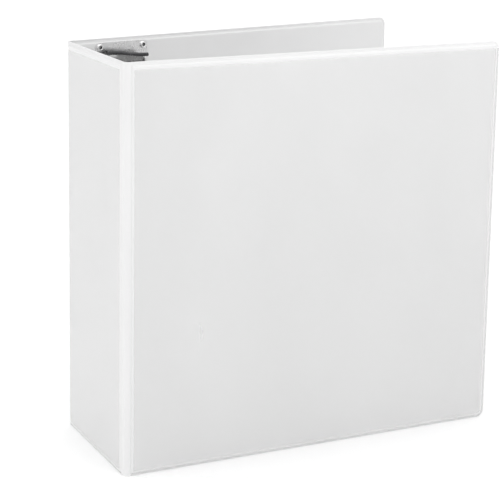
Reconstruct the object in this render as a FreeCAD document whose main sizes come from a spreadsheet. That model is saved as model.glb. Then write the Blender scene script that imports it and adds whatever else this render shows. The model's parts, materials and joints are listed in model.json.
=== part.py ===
import FreeCAD, Part
import math
import os

import Sketcher
from FreeCAD import Placement, Rotation, Vector

# Large ring binder for punched letter sheets: three welded vinyl panels on boards, joined by two
# vinyl hinges, and a three-ring metal mechanism riveted to the inside of the back cover.
#
# Row frame: +Z up the binder, +X along the back cover from its hinge to its fore edge, and +Y out of
# the back cover. The origin is the middle of the back cover's bottom edge. The binder stands on the
# bottom edges of its three panels, with its covers splayed.

# ---------------------------------------------------------------------------
# Driving dimensions: alias, value in millimetres or degrees, and what it is
# ---------------------------------------------------------------------------
SIZES = (
    ("cover_height", 295, "every panel, bottom edge to top edge"),
    ("cover_reach", 303, "fold of the hinge to the fore edge"),
    ("spine_reach", 114, "fold of one hinge to the fold of the other"),
    ("corner_radius", 6, "rounded corners on the fore edge"),
    ("board_thickness", 2.4, "greyboard stiffener"),
    ("vinyl_thickness", 0.35, "each sheet of white vinyl"),
    ("film_thickness", 0.2, "clear overlay film and inner pocket"),
    ("weld_margin", 3, "flat welded border outside the boards"),
    ("hinge_land", 1.5, "flat welded strip beside a hinge"),
    ("hinge_reach", 3, "fold to the edge of the moving panel"),
    ("fold_inset", 1.25, "fold to the panels' middle planes"),
    ("strip_gap", 0.7, "both ends of a hinge strip to its panels"),
    ("spine_angle", 100.8, "inside angle between back cover and spine"),
    ("front_angle", 87.9, "inside angle between spine and front cover"),
    ("film_inset", 0.6, "panel edge to the edge of the clear film"),
    ("film_opening", 5.5, "top of the panel to the open edge of the film"),
    ("pocket_height", 165, "bottom of the panel to a pocket's open edge"),
    ("pocket_start", 72, "fold to the back pocket, past the mechanism"),
    ("mech_centre", 44, "fold to the middle of the ring mechanism"),
    ("bead_offset", 20, "middle of the mechanism to a blade's bead"),
    ("bead_height", 2.6, "back cover's liner to the middle of the bead"),
    ("bead_radius", 1.2, "round outer edge that a blade pivots on"),
    ("bead_play", 0.3, "bead to the rolled edge of the housing"),
    ("steel_thickness", 1, "housing sheet"),
    ("arch_height", 9.3, "liner to the crown of the housing"),
    ("arch_radius", 53.2, "outside of the housing's arch"),
    ("arch_half", 128.4, "middle of the mechanism to the arch's end"),
    ("lip_width", 0.8, "rolled edge past the bead, under the blade"),
    ("mouth_width", 3, "room cut beside the rolled edge for the blade"),
    ("blade_thickness", 1.4, "carrier blade"),
    ("blade_half", 126, "middle of the mechanism to a blade's end"),
    ("blade_gap", 0.5, "between the two blades"),
    ("ring_pitch", 107.95, "letter-size punched holes, centre to centre"),
    ("wire_radius", 2, "ring wire"),
    ("wire_offset", 13.5, "middle of the mechanism to a wire's foot"),
    ("wire_play", 0.8, "wire to the sides of its notch"),
    ("ring_height", 100, "liner to the middle of the wire at the top"),
    ("post_bend", 12, "bend at the top of the straight post"),
    ("knee_start", 7, "liner to the first bend of the curved half"),
    ("knee_radius", 8, "first bend of the curved half"),
    ("belly_radius", 30, "second bend of the curved half"),
    ("bend_turn", 45, "turn of each of those two bends"),
    ("ring_gap", 0.3, "between the tips of a closed ring"),
    ("rivet_inner", 62, "middle of the mechanism to an inner rivet"),
    ("rivet_outer", 118, "middle of the mechanism to an outer rivet"),
    ("rivet_radius", 2, "rivet shank"),
    ("rivet_head", 4.6, "rivet head outside the back cover"),
    ("rivet_cap", 3.4, "rivet head on the housing"),
    ("rivet_spacer", 3, "spacer under the housing"),
    ("spacer_gap", 0.2, "spacer to the underside of the crown"),
    ("spacer_play", 0.7, "spacer to the blades' notches"),
    ("head_thickness", 0.9, "both rivet heads"),
    ("ear_start", 126.5, "middle of the mechanism to an ear's near end"),
    ("ear_offset", 15.5, "middle of the mechanism to an ear"),
    ("ear_thickness", 1.2, "pivot ear"),
    ("ear_radius", 3.2, "round corner of an ear, about the pivot"),
    ("pivot_reach", 131.5, "middle of the mechanism to a lever's pivot"),
    ("pivot_height", 5.5, "liner to a lever's pivot"),
    ("pin_radius", 1.5, "lever pin"),
    ("pin_play", 0.08, "lever bore to its pin"),
    ("pin_overhang", 0.6, "pin past the ear"),
    ("foot_reach", 144.5, "middle of the mechanism to a foot plate's end"),
    ("foot_half", 22.5, "half the width of a foot plate"),
    ("foot_corner", 3, "round corners of a foot plate"),
    ("eyelet_offset", 18.9, "middle of the mechanism to an eyelet"),
    ("eyelet_reach", 141, "middle of the mechanism to a row of eyelets"),
    ("eyelet_rim", 2.6, "radius of an eyelet's rolled rim"),
    ("eyelet_shank", 1.8, "radius of an eyelet's tube"),
    ("eyelet_bore", 1.2, "radius of an eyelet's hole"),
    ("rim_height", 1.3, "height of an eyelet's rim"),
    ("hub_radius", 2.7, "lever hub"),
    ("hub_half", 14.5, "half the width of a lever's hub and web"),
    ("lever_thickness", 1.4, "lever sheet"),
    ("web_length", 4.6, "pivot to the end of the web"),
    ("web_angle", 55, "rise of the web"),
    ("thumb_half", 16.8, "half the width of a thumb plate"),
    ("thumb_length", 3.5, "thumb plate, root to tip"),
    ("thumb_angle", 50, "rise of the thumb plate"),
    ("hem_thickness", 2.8, "rolled hem along a thumb plate's tip"),
    ("wave_height", 2.3, "half the height of the wave at its tip"),
)

doc = FreeCAD.newDocument("ring_binder")
dim = doc.addObject("Spreadsheet::Sheet", "dim")
for row, (alias, number, meaning) in enumerate(SIZES, start=1):
    dim.set(f"A{row}", meaning)
    dim.set(f"B{row}", str(number))
    dim.setAlias(f"B{row}", alias)
doc.recompute()

nodes = []


def read(alias):
    return float(dim.get(alias))


def node(thing, label):
    """Take a finished object as one sub-part, and name it."""
    thing.Label = label
    nodes.append(thing)


# ---------------------------------------------------------------------------
# Primitives and booleans
# ---------------------------------------------------------------------------
UPRIGHT = Rotation()
ALONG_X = Rotation(Vector(0, 1, 0), 90)
ALONG_Y = Rotation(Vector(1, 0, 0), -90)

fold_x = -(read("hinge_reach") + read("cover_reach")) / 2
liner_face = -(read("board_thickness") / 2 + read("vinyl_thickness"))
middle_z = read("cover_height") / 2


def at(across, height, along):
    """A place on the mechanism: across it, off the liner, and along it from its middle."""
    return Vector(fold_x + read("mech_centre") + across, liner_face - height, middle_z + along)


def primitive(kind, name, place, turn, **sizes):
    thing = doc.addObject(kind, name)
    for prop, expression in sizes.items():
        thing.setExpression(prop, expression)
    thing.Placement = Placement(place, turn)
    return thing


def rod(name, place, turn, radius, length):
    return primitive("Part::Cylinder", name, place, turn, Radius=radius, Height=length)


def block(name, place, length, width, height, turn=UPRIGHT):
    return primitive("Part::Box", name, place, turn, Length=length, Width=width, Height=height)


def bend(name, place, start, radius, sweep):
    """A bend of ring wire about an upright axis."""
    turn = Rotation(Vector(0, 0, 1), start)
    return primitive(
        "Part::Torus", name, place, turn, Radius1=radius, Radius2="dim.wire_radius", Angle3=sweep
    )


def fuse(name, things):
    joined = doc.addObject("Part::MultiFuse", name)
    joined.Shapes = things
    return joined


def cut(name, base, tools):
    remaining = doc.addObject("Part::Cut", name)
    remaining.Base = base
    remaining.Tool = tools[0] if len(tools) == 1 else fuse(name + "_tools", tools)
    return remaining


# ---------------------------------------------------------------------------
# Sketched panels: x runs from the hinge to the fore edge, y up the panel
# ---------------------------------------------------------------------------
def origin_plane(body, role):
    return next(feature for feature in body.Origin.OriginFeatures if feature.Role == role)


def hold(sketch, direction, line, end, expression):
    """Hold the end of a line at a distance from the sketch's origin, or on its axis for None."""
    if expression is None:
        axis = -2 if direction == "x" else -1
        sketch.addConstraint(Sketcher.Constraint("PointOnObject", line, end, axis))
        return
    point = sketch.getPoint(line, end)
    kind = "DistanceX" if direction == "x" else "DistanceY"
    now = point.x if direction == "x" else point.y
    index = sketch.addConstraint(Sketcher.Constraint(kind, -1, 1, line, end, now))
    sketch.setExpression(f"Constraints[{index}]", expression)


def new_sketch(body, name, level):
    sketch = body.newObject("Sketcher::SketchObject", name)
    sketch.AttachmentSupport = (origin_plane(body, "XY_Plane"), "")
    sketch.MapMode = "FlatFace"
    sketch.setExpression(".AttachmentOffset.Base.z", level)
    return sketch


def outline(body, name, low, high, bottom, top, radius=None, level="0"):
    """A rectangle, with both of its corners at the high end rounded if a radius is given."""
    sketch = new_sketch(body, name, level)
    left, right, base, crown = 10, 110, 10, 90
    round_off = 5 if radius else 0
    corners = (
        ((left, base), (right - round_off, base)),
        ((right, base + round_off), (right, crown - round_off)),
        ((right - round_off, crown), (left, crown)),
        ((left, crown), (left, base)),
    )
    for start, end in corners:
        sketch.addGeometry(Part.LineSegment(Vector(*start, 0), Vector(*end, 0)))
    joins = [(2, 2, 3, 1), (3, 2, 0, 1)]
    if radius:
        up = Vector(0, 0, 1)
        for height, start in ((base + round_off, -math.pi / 2), (crown - round_off, 0)):
            circle = Part.Circle(Vector(right - round_off, height, 0), up, round_off)
            sketch.addGeometry(Part.ArcOfCircle(circle, start, start + math.pi / 2))
        for join in ((0, 2, 4, 1), (4, 2, 1, 1), (1, 2, 5, 1), (5, 2, 2, 1)):
            sketch.addConstraint(Sketcher.Constraint("Tangent", *join))
        sketch.addConstraint(Sketcher.Constraint("Equal", 4, 5))
        index = sketch.addConstraint(Sketcher.Constraint("Radius", 4, round_off))
        sketch.setExpression(f"Constraints[{index}]", radius)
    else:
        joins += [(0, 2, 1, 1), (1, 2, 2, 1)]
    for join in joins:
        sketch.addConstraint(Sketcher.Constraint("Coincident", *join))
    for line in (0, 2):
        sketch.addConstraint(Sketcher.Constraint("Horizontal", line))
    for line in (1, 3):
        sketch.addConstraint(Sketcher.Constraint("Vertical", line))
    hold(sketch, "x", 3, 2, low)
    hold(sketch, "x", 1, 1, high)
    hold(sketch, "y", 0, 1, bottom)
    hold(sketch, "y", 2, 2, top)
    return sketch


def pad(body, sketch, length, side=0):
    """Raise a sketch to one side of its plane, or to both for side 0."""
    feature = body.newObject("PartDesign::Pad", sketch.Name + "_pad")
    feature.Profile = sketch
    feature.setExpression("Length", length)
    feature.Midplane = side == 0
    feature.Reversed = side < 0
    return feature


def pocket(body, sketch, length, side):
    """Cut a sketch's shape out towards one side of its plane."""
    feature = body.newObject("PartDesign::Pocket", sketch.Name + "_pocket")
    feature.Profile = sketch
    feature.setExpression("Length", length)
    feature.Reversed = side > 0
    return feature


def cut_through(body, sketch):
    feature = body.newObject("PartDesign::Pocket", sketch.Name + "_pocket")
    feature.Profile = sketch
    feature.Type = "ThroughAll"
    feature.Midplane = True
    return feature


def pierce(body, name, spots):
    """Cut round holes, each given as x, y and radius expressions, right through a panel."""
    sketch = new_sketch(body, name, "0")
    for number, (x, y, radius) in enumerate(spots):
        middle = Vector(10, 20 * (number + 1), 0)
        circle = sketch.addGeometry(Part.Circle(middle, Vector(0, 0, 1), 2))
        hold(sketch, "x", circle, 3, x)
        hold(sketch, "y", circle, 3, y)
        index = sketch.addConstraint(Sketcher.Constraint("Radius", circle, 2))
        sketch.setExpression(f"Constraints[{index}]", radius)
    return cut_through(body, sketch)


# Where the panels stand. Each panel's own frame has x from its fold, y up and z out of its middle
# plane, on the outside for the spine and the front cover and on the inside for the back cover.
def facing(angle):
    return Rotation(Vector(0, 0, 1), angle) * Rotation(Vector(1, 0, 0), 90)


def along(angle):
    return Vector(math.cos(math.radians(angle)), math.sin(math.radians(angle)), 0)


spine_heading = -read("spine_angle")
front_heading = 180 + spine_heading - read("front_angle")
back_fold = Vector(fold_x, -read("fold_inset"), 0)
front_fold = back_fold + along(spine_heading) * read("spine_reach")
spine_outward = along(spine_heading - 90)
front_outward = along(front_heading - 90)
back_place = Placement(Vector(fold_x, 0, 0), facing(0))
spine_place = Placement(back_fold + spine_outward * read("fold_inset"), facing(spine_heading))
front_place = Placement(front_fold + front_outward * read("fold_inset"), facing(front_heading))

COVER_END = "dim.cover_reach"
SPINE_END = "dim.spine_reach - dim.hinge_reach"
COVER_BOARD_END = "dim.cover_reach - dim.weld_margin"
SPINE_BOARD_END = "dim.spine_reach - dim.hinge_reach - dim.hinge_land"
HALF_BOARD = "dim.board_thickness / 2"
VINYL_LEVEL = "dim.board_thickness / 2 + dim.vinyl_thickness"
FILM_LEVEL = "dim.board_thickness / 2 + dim.vinyl_thickness + dim.film_thickness"

# name, place, side that is the outside, end of the panel, end of its board, is it a cover
PANELS = (
    ("back", back_place, -1, COVER_END, COVER_BOARD_END, True),
    ("spine", spine_place, 1, SPINE_END, SPINE_BOARD_END, False),
    ("front", front_place, 1, COVER_END, COVER_BOARD_END, True),
)


def board_outline(body, name, board_end, rounded, grown="0", level="0"):
    """The board's outline, grown all round for the sheets that wrap it."""
    return outline(
        body,
        name,
        f"dim.hinge_reach + dim.hinge_land - ({grown})",
        f"{board_end} + ({grown})",
        f"dim.weld_margin - ({grown})",
        f"dim.cover_height - dim.weld_margin + ({grown})",
        f"dim.corner_radius - dim.weld_margin + ({grown})" if rounded else None,
        level,
    )


def rivet_spots(with_eyelets):
    """The mechanism's rivet holes in the back panel, and its eyelet holes."""
    middle = "dim.cover_height / 2"
    spots = []
    for reach in ("dim.rivet_inner", "dim.rivet_outer"):
        for sign in "+-":
            spots.append(("dim.mech_centre", f"{middle} {sign} {reach}", "dim.rivet_radius"))
    if with_eyelets:
        for side in "+-":
            for sign in "+-":
                x = f"dim.mech_centre {side} dim.eyelet_offset"
                spots.append((x, f"{middle} {sign} dim.eyelet_reach", "dim.eyelet_shank"))
    return spots


def board(panel):
    name, place, _, _, board_end, rounded = panel
    body = doc.addObject("PartDesign::Body", name + "_board_body")
    pad(body, board_outline(body, name + "_board_outline", board_end, rounded), "dim.board_thickness")
    if name == "back":
        pierce(body, "back_board_holes", rivet_spots(True))
    body.Placement = place
    node(body, name + "_board")


def vinyl(panel, label, side):
    """One welded sheet of vinyl: a flat border on the middle plane, raised over half the board."""
    name, place, _, end, board_end, rounded = panel
    body = doc.addObject("PartDesign::Body", label + "_body")
    border = outline(
        body,
        label + "_border",
        "dim.hinge_reach",
        end,
        None,
        "dim.cover_height",
        "dim.corner_radius" if rounded else None,
    )
    pad(body, border, "dim.vinyl_thickness", side)
    raised = board_outline(body, label + "_raised", board_end, rounded, "dim.vinyl_thickness")
    pad(body, raised, VINYL_LEVEL, side)
    pocket(body, board_outline(body, label + "_seat", board_end, rounded), HALF_BOARD, side)
    if name == "back":
        pierce(body, label + "_holes", rivet_spots(side > 0))
    body.Placement = place
    node(body, label)


def film(panel, label, side, open_edge, start=None):
    """A sheet welded over the vinyl on three edges and open at its top edge."""
    name, place, outside, end, board_end, rounded = panel
    body = doc.addObject("PartDesign::Body", label + "_body")
    border = outline(
        body,
        label + "_border",
        "dim.hinge_reach + dim.film_inset",
        f"{end} - dim.film_inset",
        "dim.film_inset",
        "dim.cover_height - dim.film_inset",
        "dim.corner_radius - dim.film_inset" if rounded else None,
        f"{side} * dim.vinyl_thickness",
    )
    pad(body, border, "dim.film_thickness", side)
    wrapped = "dim.vinyl_thickness + dim.film_thickness"
    raised = board_outline(body, label + "_raised", board_end, rounded, wrapped)
    pad(body, raised, FILM_LEVEL, side)
    hollow = board_outline(body, label + "_hollow", board_end, rounded, "dim.vinyl_thickness")
    pocket(body, hollow, VINYL_LEVEL, side)
    under = outline(body, label + "_under", None, end, None, "dim.cover_height")
    pocket(body, under, "dim.vinyl_thickness", side)
    spare = outline(body, label + "_spare", None, end, open_edge, "dim.cover_height")
    cut_through(body, spare)
    if start:
        aside = outline(body, label + "_aside", None, start, None, "dim.cover_height")
        cut_through(body, aside)
    if name == "back" and side == outside:
        pierce(body, label + "_holes", rivet_spots(False))
    body.Placement = place
    node(body, label)


def panels():
    for panel in PANELS:
        name, _, outside, _, _, rounded = panel
        board(panel)
        vinyl(panel, name + "_outer_vinyl", outside)
        vinyl(panel, name + "_liner", -outside)
        film(panel, name + "_clear_overlay", outside, "dim.cover_height - dim.film_opening")
        if rounded:
            start = "dim.pocket_start" if name == "back" else None
            film(panel, name + "_inner_pocket", -outside, "dim.pocket_height", start)


def hinge_strip(label, fold, first_outward, second_outward, angle):
    """The vinyl strip of a hinge: its chord at rest, between the edges of its two panels."""
    body = doc.addObject("PartDesign::Body", label + "_body")
    chord = (
        f"2 * (dim.hinge_reach * sin({angle} / 2) + dim.fold_inset * cos({angle} / 2))"
        " - dim.strip_gap"
    )
    shape = outline(body, label + "_outline", None, chord, None, "dim.cover_height")
    pad(body, shape, "2 * dim.vinyl_thickness")
    inset = read("fold_inset")
    reach = read("hinge_reach")
    start = fold + first_outward * inset + first_outward.cross(Vector(0, 0, 1)) * reach
    end = fold + second_outward * inset - second_outward.cross(Vector(0, 0, 1)) * reach
    run = end - start
    heading = math.degrees(math.atan2(run.y, run.x))
    corner = start + run.normalize() * (read("strip_gap") / 2)
    body.Placement = Placement(corner, facing(heading))
    node(body, label)


def hinge_strips():
    hinge_strip("back_hinge_strip", back_fold, Vector(0, 1, 0), spine_outward, "dim.spine_angle")
    hinge_strip("front_hinge_strip", front_fold, spine_outward, front_outward, "dim.front_angle")


# ---------------------------------------------------------------------------
# Ring mechanism
# ---------------------------------------------------------------------------
RINGS = [number * read("ring_pitch") for number in (-1, 0, 1)]
RING_NAMES = ("bottom", "middle", "top")
RIVETS = [sign * read(reach) for sign in (-1, 1) for reach in ("rivet_inner", "rivet_outer")]
ENDS = (("bottom", -1), ("top", 1))
SIDES = (("spine_side", -1), ("fore_side", 1))
ARCH_LENGTH = "2 * dim.arch_half"


def low(side, near, far):
    """The lower end of a stretch from near to far, on either side of the middle."""
    return min(side * near, side * far)


def arch():
    half = read("arch_half")
    centre = at(0, read("arch_height") - read("arch_radius"), -half)
    outer = rod("arch_outside", centre, UPRIGHT, "dim.arch_radius", ARCH_LENGTH)
    inner_radius = "dim.arch_radius - dim.steel_thickness"
    inner = rod("arch_inside", centre, UPRIGHT, inner_radius, ARCH_LENGTH)
    shell = cut("arch_shell", outer, [inner])
    corner = at(-read("bead_offset"), read("arch_height"), -half)
    window = block("arch_window", corner, "2 * dim.bead_offset", "dim.arch_height", ARCH_LENGTH)
    crown = doc.addObject("Part::MultiCommon", "arch_crown")
    crown.Shapes = [shell, window]
    return crown


def rolled_edge(name, side):
    """The edge of the housing, rolled round a blade's bead and open towards the middle."""
    half = read("arch_half")
    bead = read("bead_offset")
    inward = bead - read("mouth_width")
    lip_height = read("bead_height") - read("bead_radius")
    centre = at(side * bead, read("bead_height"), -half)
    hollow = "dim.bead_radius + dim.bead_play"
    outer_radius = hollow + " + dim.steel_thickness"
    outer = rod(name + "_edge_outside", centre, UPRIGHT, outer_radius, ARCH_LENGTH)
    inner = rod(name + "_edge_inside", centre, UPRIGHT, hollow, ARCH_LENGTH)
    mouth = block(
        name + "_mouth",
        at(low(side, inward, bead), 2 * read("bead_height"), -half),
        "dim.mouth_width",
        "dim.bead_height + dim.bead_radius",
        ARCH_LENGTH,
    )
    trim = block(
        name + "_lip_trim",
        at(low(side, inward, bead - read("lip_width")), lip_height, -half),
        "dim.mouth_width - dim.lip_width",
        "dim.bead_height - dim.bead_radius",
        ARCH_LENGTH,
    )
    return cut(name + "_rolled_edge", outer, [inner, mouth, trim])


def foot_plate(name, sign):
    """A flat plate beyond the arch, with its two far corners rounded."""
    body = doc.addObject("PartDesign::Body", name + "_foot_plate")
    shape = outline(
        body,
        name + "_foot_outline",
        None,
        "dim.foot_reach - dim.ear_start",
        None,
        "2 * dim.foot_half",
        "dim.foot_corner",
    )
    pad(body, shape, "dim.steel_thickness", 1)
    outward = Vector(0, 0, sign)
    turn = Rotation(outward, Vector(-sign, 0, 0), Vector(0, -1, 0), "XYZ")
    body.Placement = Placement(at(sign * read("foot_half"), 0, sign * read("ear_start")), turn)
    return body


def ear(name, side, sign):
    """A pivot ear: a plate standing on the foot plate, round about the lever's pin."""
    across = low(side, read("ear_offset"), read("ear_offset") + read("ear_thickness"))
    start, pivot = read("ear_start"), read("pivot_reach")
    radius, height = read("ear_radius"), read("pivot_height")
    wide = block(
        name + "_ear_base",
        at(across, height, low(sign, start, pivot + radius)),
        "dim.ear_thickness",
        "dim.pivot_height",
        "dim.pivot_reach + dim.ear_radius - dim.ear_start",
    )
    tall = block(
        name + "_ear_top",
        at(across, height + radius, low(sign, start, pivot)),
        "dim.ear_thickness",
        "dim.ear_radius",
        "dim.pivot_reach - dim.ear_start",
    )
    knuckle = rod(
        name + "_ear_round",
        at(across, height, sign * pivot),
        ALONG_X,
        "dim.ear_radius",
        "dim.ear_thickness",
    )
    return [wide, tall, knuckle]


def pin(name, sign):
    half = read("ear_offset") + read("ear_thickness") + read("pin_overhang")
    length = "2 * (dim.ear_offset + dim.ear_thickness + dim.pin_overhang)"
    place = at(-half, read("pivot_height"), sign * read("pivot_reach"))
    return rod(name, place, ALONG_X, "dim.pin_radius", length)


def wire_notches(number, ring):
    """The notch of a curved half, open at the housing's edge, and the slot of a straight post."""
    play, radius, offset = read("wire_play"), read("wire_radius"), read("wire_offset")
    bottom = ring - radius - play
    tall = "2 * (dim.wire_radius + dim.wire_play)"
    notch_start = -read("bead_offset") - read("mouth_width")
    notch = block(
        f"wire_notch_{number}",
        at(notch_start, read("arch_height"), bottom),
        "dim.bead_offset + dim.mouth_width - dim.wire_offset + dim.wire_radius + dim.wire_play",
        "dim.arch_height",
        tall,
    )
    slot = block(
        f"wire_slot_{number}",
        at(offset - radius - play, read("arch_height"), bottom),
        "2 * dim.wire_radius + 3 * dim.wire_play",
        "dim.arch_height - dim.bead_height",
        tall,
    )
    return [notch, slot]


def housing():
    solid = [arch()]
    holes = []
    for name, side in SIDES:
        solid.append(rolled_edge(name, side))
    for end, sign in ENDS:
        solid.append(foot_plate(end, sign))
        for name, side in SIDES:
            solid += ear(f"{end}_{name}", side, sign)
            spot = at(
                side * read("eyelet_offset"),
                2 * read("steel_thickness"),
                sign * read("eyelet_reach"),
            )
            hole_name = f"{end}_{name}_eyelet_hole"
            holes.append(rod(hole_name, spot, ALONG_Y, "dim.eyelet_shank", "3 * dim.steel_thickness"))
        holes.append(pin(end + "_pin_bore", sign))
    for number, ring in enumerate(RINGS):
        holes += wire_notches(number, ring)
    for number, along_it in enumerate(RIVETS):
        spot = at(0, 2 * read("arch_height"), along_it)
        holes.append(
            rod(f"rivet_hole_{number}", spot, ALONG_Y, "dim.rivet_radius", "2 * dim.arch_height")
        )
    node(cut("housing", fuse("housing_solid", solid), holes), "mechanism_housing")


def blade(name, side):
    """A carrier blade: a flat strip that pivots on the round bead along its outer edge."""
    half, height = read("blade_half"), read("bead_height")
    bead = read("bead_offset")
    length = "2 * dim.blade_half"
    strip = block(
        name + "_blade_strip",
        at(low(side, read("blade_gap") / 2, bead), height + read("blade_thickness") / 2, -half),
        "dim.bead_offset - dim.blade_gap / 2",
        "dim.blade_thickness",
        length,
    )
    edge = rod(name + "_blade_bead", at(side * bead, height, -half), UPRIGHT, "dim.bead_radius", length)
    above = height + 2 * read("blade_thickness")
    through = "4 * dim.blade_thickness"
    holes = []
    for number, along_it in enumerate(RIVETS):
        spot = at(0, above, along_it)
        radius = "dim.rivet_spacer + dim.spacer_play"
        holes.append(rod(f"{name}_blade_notch_{number}", spot, ALONG_Y, radius, through))
    for number, ring in enumerate(RINGS):
        spot = at(side * read("wire_offset"), above, ring)
        holes.append(rod(f"{name}_wire_hole_{number}", spot, ALONG_Y, "dim.wire_radius", through))
    node(cut(name + "_blade_solid", fuse(name + "_blade_blank", [strip, edge]), holes), name + "_blade")


def straight_post(name, ring):
    """The straight half of a ring: an upright post, bent over at the top towards the spine."""
    offset, radius = read("wire_offset"), read("post_bend")
    shoulder = read("ring_height") - radius
    post = rod(
        name + "_post_run",
        at(offset, shoulder, ring),
        ALONG_Y,
        "dim.wire_radius",
        "dim.ring_height - dim.post_bend - dim.bead_height + dim.blade_thickness / 2",
    )
    top = bend(name + "_post_bend", at(offset - radius, shoulder, ring), -90, "dim.post_bend", "90")
    node(fuse(name + "_post", [post, top]), name + "_straight_post")


def curved_half(name, ring):
    """The curved half of a ring: foot, knee, belly, a straight run and a wide shoulder."""
    turn = math.radians(read("bend_turn"))
    knee, belly = read("knee_radius"), read("belly_radius")
    foot, start = -read("wire_offset"), read("knee_start")
    run = foot - (knee + belly) * (1 - math.cos(turn))
    belly_end = start + (knee + belly) * math.sin(turn)
    shoulder = -run + read("wire_offset") - read("post_bend") - read("ring_gap")
    shoulder_size = (
        "2 * dim.wire_offset + (dim.knee_radius + dim.belly_radius) * (1 - cos(dim.bend_turn))"
        " - dim.post_bend - dim.ring_gap"
    )
    foot_length = "dim.knee_start - dim.bead_height + dim.blade_thickness / 2"
    run_length = (
        f"dim.ring_height - ({shoulder_size}) - dim.knee_start"
        " - (dim.knee_radius + dim.belly_radius) * sin(dim.bend_turn)"
    )
    shoulder_height = read("ring_height") - shoulder
    degrees = read("bend_turn")
    pieces = [
        rod(name + "_foot_run", at(foot, start, ring), ALONG_Y, "dim.wire_radius", foot_length),
        bend(name + "_knee", at(foot - knee, start, ring), -degrees, "dim.knee_radius", "dim.bend_turn"),
        bend(
            name + "_belly",
            at(run + belly, belly_end, ring),
            180 - degrees,
            "dim.belly_radius",
            "dim.bend_turn",
        ),
        rod(
            name + "_side_run",
            at(run, shoulder_height, ring),
            ALONG_Y,
            "dim.wire_radius",
            run_length,
        ),
        bend(name + "_shoulder", at(run + shoulder, shoulder_height, ring), 180, shoulder_size, "90"),
    ]
    node(fuse(name + "_curve", pieces), name + "_curved_half")


def group(name, things):
    """Separate solids that share one node."""
    together = doc.addObject("Part::Compound", name + "_group")
    together.Links = things
    node(together, name)


def mounting_rivets():
    """Rivets through the back cover, with a spacer under the housing and a head at each end."""
    crown = read("arch_height")
    outside = 2 * liner_face - read("film_thickness")
    spacer_top = crown - read("steel_thickness") - read("spacer_gap")
    through = "dim.board_thickness + 2 * dim.vinyl_thickness + dim.film_thickness"
    made = []
    for number, along_it in enumerate(RIVETS):
        name = f"rivet_{number}"
        steps = (
            ("shank", crown, "dim.rivet_radius", "dim.arch_height + " + through),
            ("head", outside, "dim.rivet_head", "dim.head_thickness"),
            ("cap", crown + read("head_thickness"), "dim.rivet_cap", "dim.head_thickness"),
            (
                "spacer",
                spacer_top,
                "dim.rivet_spacer",
                "dim.arch_height - dim.steel_thickness - dim.spacer_gap",
            ),
        )
        rods = [
            rod(f"{name}_{step}", at(0, height, along_it), ALONG_Y, radius, length)
            for step, height, radius, length in steps
        ]
        made.append(fuse(name, rods))
    group("mounting_rivets", made)


def corner_eyelets():
    """Hollow eyelets that hold the foot plates to the liner and the board."""
    plate, rim = read("steel_thickness"), read("rim_height")
    below = "dim.steel_thickness + dim.vinyl_thickness + dim.board_thickness"
    made = []
    for end, sign in ENDS:
        for side_name, side in SIDES:
            name = f"{end}_{side_name}_eyelet"
            across, along_it = side * read("eyelet_offset"), sign * read("eyelet_reach")
            top = at(across, plate + rim, along_it)
            collar = rod(name + "_rim", top, ALONG_Y, "dim.eyelet_rim", "dim.rim_height")
            tube = rod(name + "_tube", at(across, plate, along_it), ALONG_Y, "dim.eyelet_shank", below)
            bore = rod(name + "_bore", top, ALONG_Y, "dim.eyelet_bore", below + " + dim.rim_height")
            made.append(cut(name, fuse(name + "_solid", [collar, tube]), [bore]))
    group("corner_eyelets", made)


WAVE_POINTS = 9


def thumb_section(start, normal, wave, thickness):
    """One end of a thumb plate: a thin strip across it, waved by the given height."""
    half = read("thumb_half")
    steps = [half * (2 * step / (WAVE_POINTS - 1) - 1) for step in range(WAVE_POINTS)]
    rows = []
    for face in (thickness / 2, -thickness / 2):
        row = []
        for across in steps:
            lift = face - wave * math.sin(math.pi / 2 * across / half)
            row.append(start + Vector(across, 0, 0) + normal * lift)
        rows.append(row)
    upper, lower = rows
    curves = []
    for row in (upper, lower[::-1]):
        curve = Part.BSplineCurve()
        curve.interpolate(row)
        curves.append(curve.toShape())
    right = Part.makeLine(upper[-1], lower[-1])
    left = Part.makeLine(lower[0], upper[0])
    return Part.Wire([curves[0], right, curves[1], left])


def lever(name, sign):
    """An opening lever: a hub on its pin, a web, and a thumb plate that waves towards its tip."""
    pivot = at(0, read("pivot_height"), sign * read("pivot_reach"))
    half, thickness = read("hub_half"), read("lever_thickness")
    hub_end = at(-half, read("pivot_height"), sign * read("pivot_reach"))
    hub = rod(name + "_hub", hub_end, ALONG_X, "dim.hub_radius", "2 * dim.hub_half")
    turn = Rotation(Vector(1, 0, 0), 90 - sign * read("web_angle"))
    corner = pivot + turn.multVec(Vector(-half, -thickness / 2, 0))
    web = block(name + "_web", corner, "2 * dim.hub_half", "dim.lever_thickness", "dim.web_length", turn)

    rise = math.radians(read("thumb_angle"))
    outward = Vector(0, -math.cos(rise), sign * math.sin(rise))
    normal = Vector(0, math.sin(rise), sign * math.cos(rise))
    root = pivot + turn.multVec(Vector(0, 0, read("web_length") - thickness / 2))
    tip = root + outward * read("thumb_length")
    sections = [
        thumb_section(root, normal, 0, thickness),
        thumb_section(tip, normal, read("wave_height"), read("hem_thickness")),
    ]
    thumb = doc.addObject("Part::Feature", name + "_thumb_plate")
    thumb.Shape = Part.makeLoft(sections, True, True)

    bore = rod(name + "_bore", hub_end, ALONG_X, "dim.pin_radius + dim.pin_play", "2 * dim.hub_half")
    node(cut(name + "_solid", fuse(name + "_blank", [hub, web, thumb]), [bore]), name)


def mechanism():
    housing()
    for name, side in SIDES:
        blade(name, side)
    for name, ring in zip(RING_NAMES, RINGS):
        straight_post(name, ring)
        curved_half(name, ring)
    mounting_rivets()
    corner_eyelets()
    for end, sign in ENDS:
        lever(end + "_lever", sign)
        node(pin(end + "_pin", sign), end + "_lever_pin")


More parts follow.
